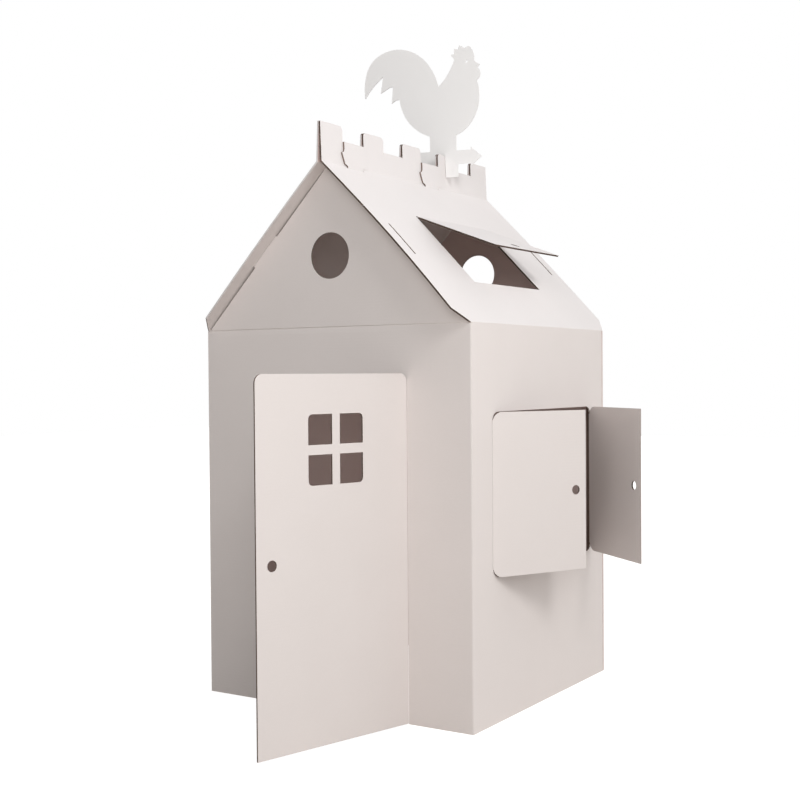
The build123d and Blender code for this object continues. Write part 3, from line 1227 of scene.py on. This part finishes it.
@dataclass(frozen=True)
class KraftFinish:
    """Brown core paper, seen at most cut edges."""

    tint: Colour = (0.29, 0.215, 0.18)
    shade: Colour = (0.15, 0.105, 0.085)
    tooth: float = 0.00004
    specular: float = 0.2
    roughness: float = 0.8
    swing: float = 0.2

    def build(self, name: str, grain: Tree) -> bpy.types.Material:
        """Builds the material.

        Args:
            name: The material's name.
            grain: The paper grain group.

        Returns:
            The material.
        """
        tree = PaperTree(name, self.specular, grain)
        tree.blend(self.shade, self.tint, tree.grain["Fibre"])
        tree.roughen(self.roughness, self.swing)
        tree.emboss(tree.grain["Height"], self.tooth)
        return tree.material


@dataclass(frozen=True)
class Lamp:
    """A square soft box that looks at the house."""

    name: str
    toward: tuple[float, float, float]
    distance: float
    size: float
    power: float
    target: tuple[float, float, float] = (0.0, -0.35, 0.7)

    def build(self) -> Piece:
        """Makes the lamp.

        Returns:
            The lamp.
        """
        data = bpy.data.lights.new(self.name, "AREA")
        data.shape = "SQUARE"
        data.size = self.size
        data.energy = self.power
        lamp = bpy.data.objects.new(self.name, data)
        bpy.context.scene.collection.objects.link(lamp)
        way = Vector(self.toward).normalized()
        lamp.location = Vector(self.target) + way * self.distance
        lamp.rotation_euler = way.to_track_quat("Z", "Y").to_euler()
        return lamp


@dataclass(frozen=True)
class Wall:
    """A pale studio wall: the way it lies from the house and how brightly it lights it."""

    toward: tuple[float, float, float]
    glow: float

    def level(self, nodes: Nodes, ray: Socket) -> Socket:
        """Works out the light that comes from this wall along a ray.

        Args:
            nodes: The tree to wire in.
            ray: The ray's direction.

        Returns:
            The light's strength.
        """
        facing = nodes.add("VectorMath", operation="DOT_PRODUCT")
        nodes.wire(ray, facing.inputs[0])
        facing.inputs[1].default_value = self.toward
        return nodes.math("MULTIPLY", nodes.math("MAXIMUM", facing.outputs["Value"], 0.0), self.glow)


@dataclass(frozen=True)
class Studio:
    """A pale floor, a white surround and soft boxes."""

    floor_size: float = 24.0
    floor_glow: float = 0.86
    floor_paint: Colour = (0.60, 0.57, 0.54)
    floor_roughness: float = 0.9
    fade_start: float = 1.0
    fade_end: float = 2.2
    walls: tuple[Wall, ...] = (
        Wall(toward=(1.0, 0.0, 0.0), glow=0.60),
        Wall(toward=(-1.0, 0.0, 0.0), glow=0.08),
        Wall(toward=(0.0, -1.0, 0.0), glow=0.29),
        Wall(toward=(0.0, 1.0, 0.0), glow=1.50),
    )
    lamps: tuple[Lamp, ...] = (
        Lamp("side_box", toward=(0.73, -0.33, 0.60), distance=3.5, size=1.0, power=34.0),
        Lamp("front_box", toward=(0.39, -0.86, 0.34), distance=3.5, size=1.6, power=25.0),
    )

    def build(self) -> None:
        """Makes the whole studio."""
        self.surround()
        self.floor()
        for lamp in self.lamps:
            lamp.build()
        bpy.context.scene.view_settings.view_transform = "Standard"

    def seen(self, nodes: Nodes) -> Socket:
        """Tells rays that show the background from rays that light the house.

        Args:
            nodes: The tree to wire in.

        Returns:
            1 for camera, glossy and transmission rays, else 0.
        """
        path = nodes.add("LightPath")
        mirrored = nodes.math("MAXIMUM", path.outputs["Is Glossy Ray"], path.outputs["Is Transmission Ray"])
        return nodes.math("MAXIMUM", path.outputs["Is Camera Ray"], mirrored)

    def surround(self) -> None:
        """Makes the white world, which lights the house from its pale walls."""
        world = bpy.data.worlds.new("white_surround")
        world.use_nodes = True
        bpy.context.scene.world = world
        nodes = Nodes(world.node_tree)
        glow = world.node_tree.nodes["Background"]
        glow.inputs["Color"].default_value = (1, 1, 1, 1)
        ray = nodes.add("TexCoord").outputs["Generated"]
        lit = self.walls[0].level(nodes, ray)
        for wall in self.walls[1:]:
            lit = nodes.math("ADD", lit, wall.level(nodes, ray))
        seen = self.seen(nodes)
        lit = nodes.math("MULTIPLY", lit, nodes.math("SUBTRACT", 1.0, seen))
        nodes.wire(nodes.math("ADD", lit, seen), glow.inputs["Strength"])

    def floor(self) -> Piece:
        """Makes the floor, white to the eye and keeping the house's shadow.

        Returns:
            The floor.
        """
        Bench.clear()
        bpy.ops.mesh.primitive_plane_add(size=self.floor_size)
        floor = bpy.context.object
        floor.name = "floor"
        material = bpy.data.materials.new("pale_floor")
        material.use_nodes = True
        nodes = Nodes(material.node_tree)
        paint = material.node_tree.nodes["Principled BSDF"]
        output = material.node_tree.nodes["Material Output"]
        paint.inputs["Base Color"].default_value = (*self.floor_paint, 1)
        paint.inputs["Roughness"].default_value = self.floor_roughness
        paint.inputs["Specular IOR Level"].default_value = 0.0
        ranged = nodes.add("VectorMath", operation="LENGTH")
        nodes.wire(nodes.add("TexCoord").outputs["Object"], ranged.inputs[0])
        fade = nodes.add("MapRange")
        nodes.wire(ranged.outputs["Value"], fade.inputs["Value"])
        ends = {"From Min": self.fade_start, "From Max": self.fade_end,
                "To Min": self.floor_glow, "To Max": 1.0}
        for name, value in ends.items():
            fade.inputs[name].default_value = value
        glow = nodes.add("Emission")
        shown = nodes.math("MULTIPLY", fade.outputs["Result"], self.seen(nodes))
        nodes.wire(shown, glow.inputs["Strength"])
        both = nodes.add("AddShader")
        nodes.wire(paint.outputs["BSDF"], both.inputs[0])
        nodes.wire(glow.outputs["Emission"], both.inputs[1])
        nodes.wire(both.outputs["Shader"], output.inputs["Surface"])
        floor.data.materials.append(material)
        return floor


@dataclass(frozen=True)
class Bird:
    """The weathercock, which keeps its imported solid."""

    node: str = "rooster"

    def dress(self, finishes: Materials) -> Piece:
        """Gives the bird its card finish.

        Args:
            finishes: The material of each finish.

        Returns:
            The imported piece.
        """
        piece = frame["nodes"][self.node]
        piece.data.materials.clear()
        piece.data.materials.append(finishes[Finish.CARD])
        return piece


@dataclass
class Playhouse:
    """All the boards of the playhouse, and its bird."""

    house: House = field(default_factory=House)
    door_width: float = 0.417
    door_height: float = 0.790
    shutter_width: float = 0.266
    shutter_height: float = 0.372
    skylight_width: float = 0.339
    skylight_length: float = 0.231
    skylight_foot: float = 0.142
    back_bow: float = 0.001
    bird: Bird = Bird()

    def boards(self) -> list[Board]:
        """Lists the boards in the order they are made.

        Returns:
            The boards.
        """
        house, stock = self.house, self.house.stock
        joints = {joint["name"]: joint for joint in frame["joints"]}
        front_crease = joints["front_shutter_crease"]["pos_m"][1] - house.front
        rear_crease = joints["rear_shutter_crease"]["pos_m"][1] - house.front
        door_crease = joints["door_crease"]["pos_m"][0] + house.half
        uphill = Vector((-math.cos(house.pitch), 0, math.sin(house.pitch)))
        shutters = [
            Flap(name, name, stock, joint=joints[f"{name}_crease"], width=self.shutter_width,
                 height=self.shutter_height, side=side, lapped=True)
            for name, side in (("front_shutter", Side.START), ("rear_shutter", Side.END))
        ]
        return [
            FoldedSheet("front_right_sheet", "house", stock, house=house, wall_creases=(door_crease,),
                        side_creases=(front_crease, rear_crease),
                        roof_creases=(self.skylight_foot + self.skylight_length,)),
            FoldedSheet("back_left_sheet", "house", stock, house=house, twin=True, near_bow=self.back_bow),
            Flap("door", "door", stock, joint=joints["door_crease"], closed_along=RIGHT.copy(),
                 width=self.door_width, height=self.door_height, side=Side.END),
            *shutters,
            Flap("skylight_flap", "skylight", stock, joint=joints["skylight_crease"], closed_across=uphill,
                 width=self.skylight_width, height=self.skylight_length, side=Side.TOP, finish=Finish.ROOF),
        ]

    def finishes(self) -> Materials:
        """Builds every finish once.

        Returns:
            The material of each finish.
        """
        grain = PaperGrain().group()
        ribs = Washboard(self.house.stock.pitch).group()
        steep = math.sin(self.house.pitch)
        liners = {
            Finish.WALL: LinerFinish(tint=(0.83, 0.77, 0.745), shade=(0.79, 0.728, 0.70)),
            # The roof, crest and flap faces are the same liner as the walls; their cooler, lighter tint is
            # painted light, a lit copy of the wall liner.
            Finish.ROOF: LinerFinish(tint=(0.83, 0.79, 0.78), shade=(0.79, 0.748, 0.735), rise=steep),
            # The inside faces are the same white liner as the outside; their warmer, darker tint is painted
            # shade, standing in for the dim warm light bounced inside the house.
            Finish.INSIDE: LinerFinish(tint=(0.82, 0.68, 0.645), shade=(0.78, 0.635, 0.60)),
            # The bird's card is whiter than the walls' liner, and part of that whiteness is painted light:
            # it stands in for the brighter light that the bird catches.
            Finish.CARD: LinerFinish(tint=(0.96, 0.945, 0.935), shade=(0.93, 0.915, 0.905), ribs=0.0),
            Finish.PRESSED: LinerFinish(tint=(0.44, 0.385, 0.36), shade=(0.39, 0.335, 0.31), ribs=0.0),
        }
        made = {finish: liner.build(finish.value, grain, ribs) for finish, liner in liners.items()}
        made[Finish.KRAFT] = KraftFinish().build(Finish.KRAFT.value, grain)
        return made

    def build(self) -> list[Piece]:
        """Makes every board and dresses the bird.

        Returns:
            The finished pieces.
        """
        finishes = self.finishes()
        pieces = [board.build(finishes) for board in self.boards()]
        return [*pieces, self.bird.dress(finishes)]


def main() -> None:
    """Builds the playhouse and its studio, and notes the sizes."""
    logging.basicConfig(level=logging.INFO, format="%(name)s: %(message)s")
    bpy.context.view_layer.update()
    for piece in Playhouse().build():
        log.info("%s: %d faces", piece.name, len(piece.data.polygons))
    Studio().build()
    Camera().build()


if __name__ == "__main__":
    main()
